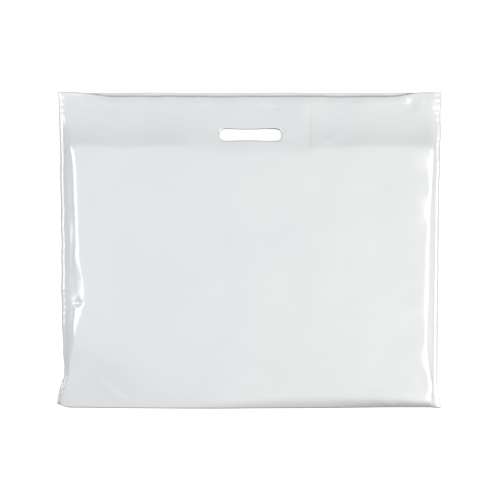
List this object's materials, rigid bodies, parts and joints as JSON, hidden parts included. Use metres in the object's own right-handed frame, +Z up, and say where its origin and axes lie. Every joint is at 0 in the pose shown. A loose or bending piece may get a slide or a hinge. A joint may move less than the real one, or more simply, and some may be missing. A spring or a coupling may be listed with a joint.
{
  "type": "plastic carrier bag",
  "caption": "Wide white polythene carrier bag lying on its back, with a bottom gusset, welded sides, an open mouth and a punched hand slot through glued-in patches.",
  "frame": {"origin": "middle of the footprint, on the surface that the rear panel lies on", "axes": "+X across the bag's width, +Y from the bottom gusset towards the mouth, +Z up from the rear panel to the front panel"},
  "size_m": [0.5596, 0.4576, 0.03],
  "materials": {
    "film": "white low-density polythene film, satin gloss, slightly see-through",
    "patch": "white polythene patch film, satin"
  },
  "bodies": {
    "root": {"bag_film": "film", "front_patch": "patch", "rear_patch": "patch"}
  },
  "joints": []
}
